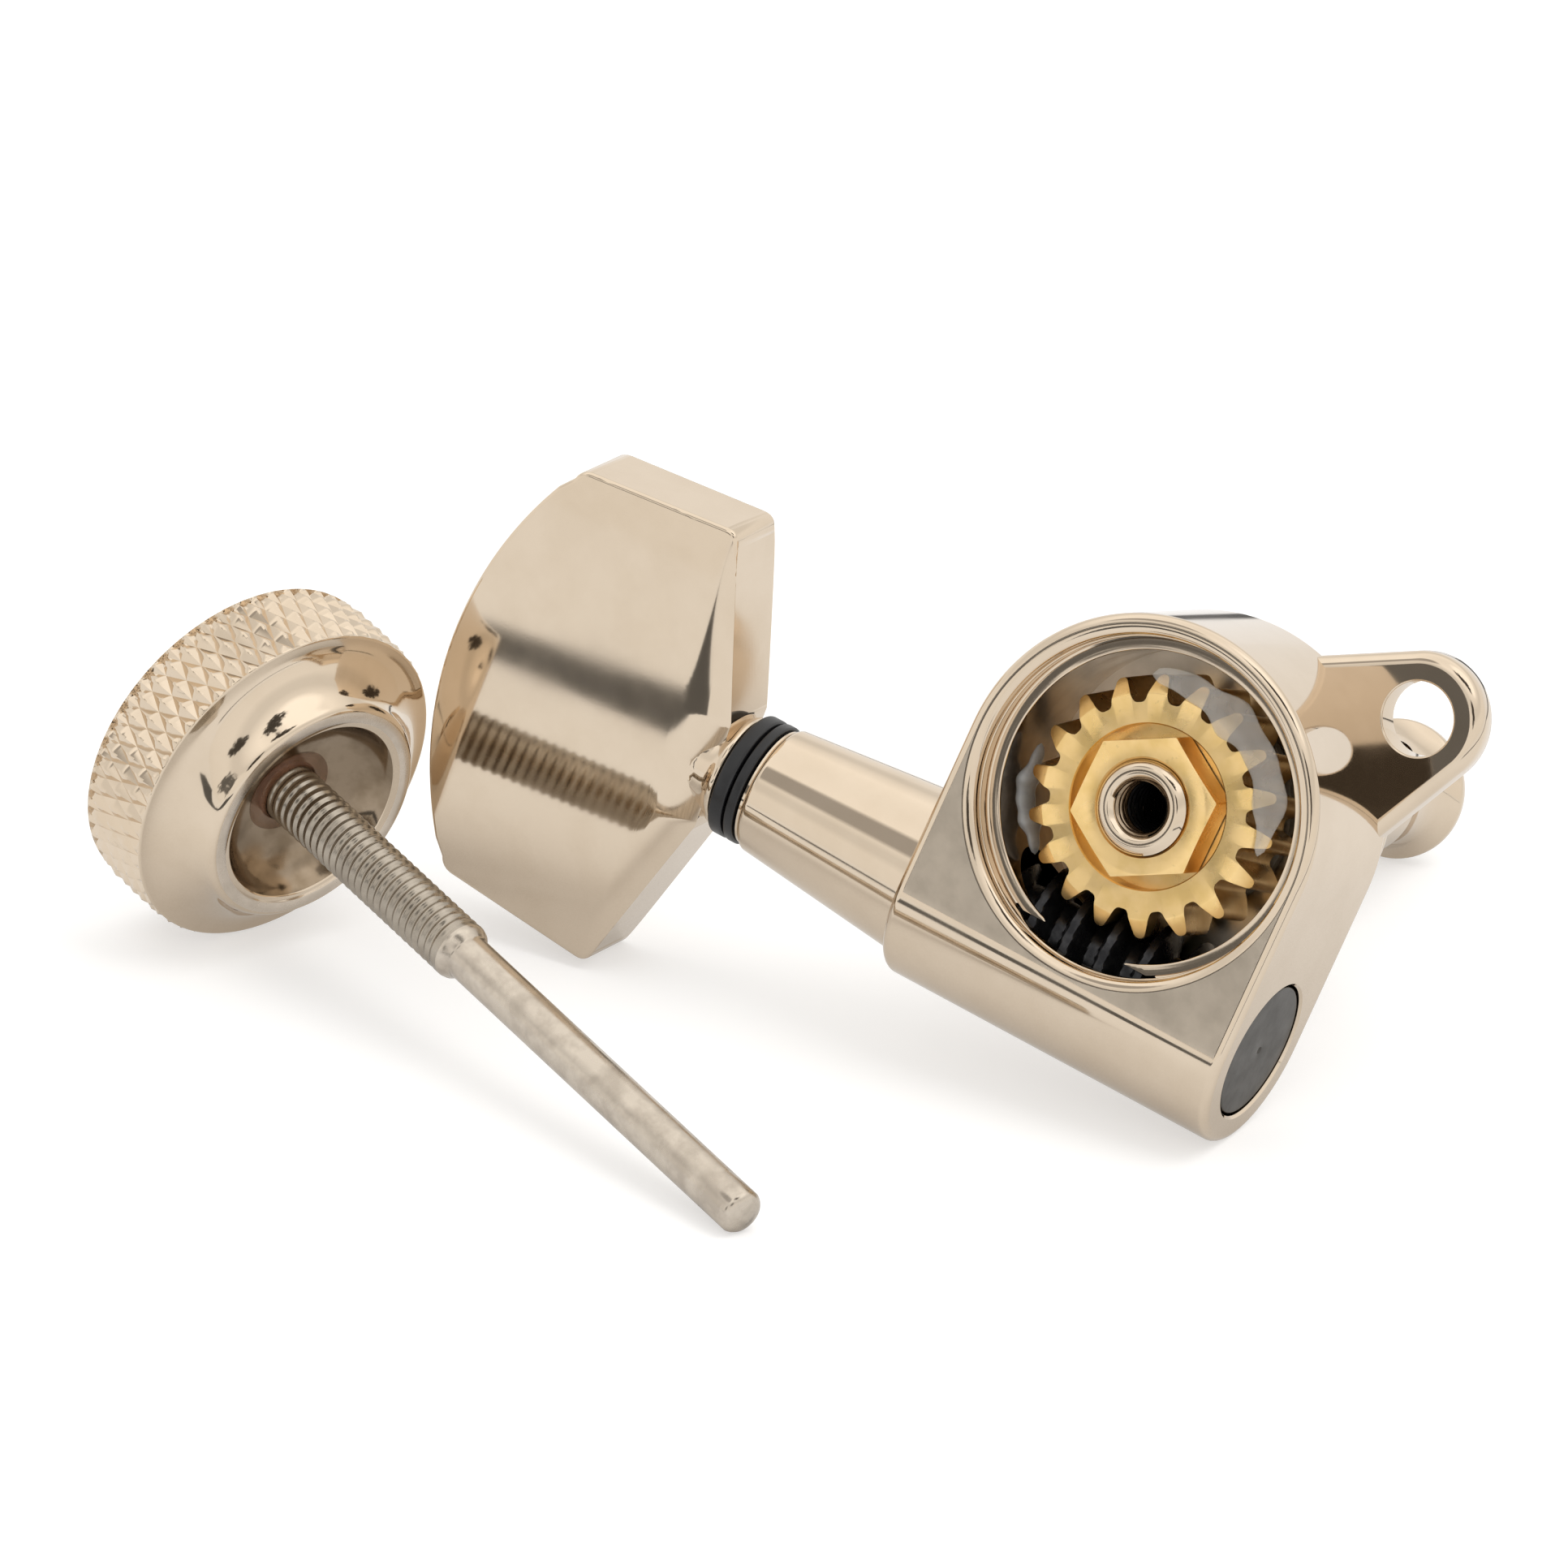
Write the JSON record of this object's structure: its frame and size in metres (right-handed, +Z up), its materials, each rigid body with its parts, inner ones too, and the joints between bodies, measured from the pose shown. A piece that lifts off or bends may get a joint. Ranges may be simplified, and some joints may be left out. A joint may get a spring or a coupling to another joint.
{
  "type": "guitar tuning machine",
  "caption": "Back-locking geared tuning machine with an open gear well, string post, keystone button and its knurled locking screw laid beside it.",
  "frame": {"origin": "bottom centre of the box round the tuner and its locking screw as they lie on the table", "axes": "+Z up from the table, +X to the right and +Y away from the viewer in the pictured arrangement"},
  "size_m": [0.0654, 0.0472, 0.024],
  "materials": {
    "nickel": "polished warm nickel plate",
    "steel": "turned steel",
    "black_steel": "blackened steel, worn bright on its edges",
    "brass": "cut brass with a fine grain",
    "bronze": "plain sintered bronze",
    "black_nylon": "smooth black nylon",
    "pale_nylon": "smooth natural nylon"
  },
  "bodies": {
    "casing": {"housing": "nickel", "worm_bore_plug": "black_steel", "worm_thrust_washer": "steel", "worm_end_washer": "steel", "neck_bearing": "bronze", "neck_inner_washer": "black_nylon", "neck_outer_washer": "black_nylon", "post_bearing": "pale_nylon", "headstock_bushing": "nickel", "bushing_washer": "nickel"},
    "worm_drive": {"worm_shaft": "black_steel", "button": "nickel"},
    "post_drive": {"string_post": "nickel", "worm_wheel": "brass", "gear_nut": "brass", "gear_floor_washer": "pale_nylon"},
    "locking_screw": {"locking_wheel": "nickel", "locking_pin": "steel"}
  },
  "joints": [
    {"name": "button_turn", "type": "hinge", "parent": "casing", "child": "worm_drive", "pos_m": [0.01449, -0.00594, 0.00648], "axis": [-0.8469, 0.489, 0.209], "continuous": true},
    {"name": "post_turn", "type": "hinge", "parent": "casing", "child": "post_drive", "pos_m": [0.01738, -0.00415, 0.014], "axis": [-0.4006, -0.8451, 0.354], "continuous": true},
    {"name": "locking_screw_turn", "type": "hinge", "parent": "casing", "child": "locking_screw", "pos_m": [-0.02367, 0.00471, 0.00822], "axis": [0.6101, -0.767, -0.1985], "continuous": true}
  ],
  "couplings": [
    {"joint": "post_turn", "follows": "button_turn", "ratio": 0.055556}
  ]
}
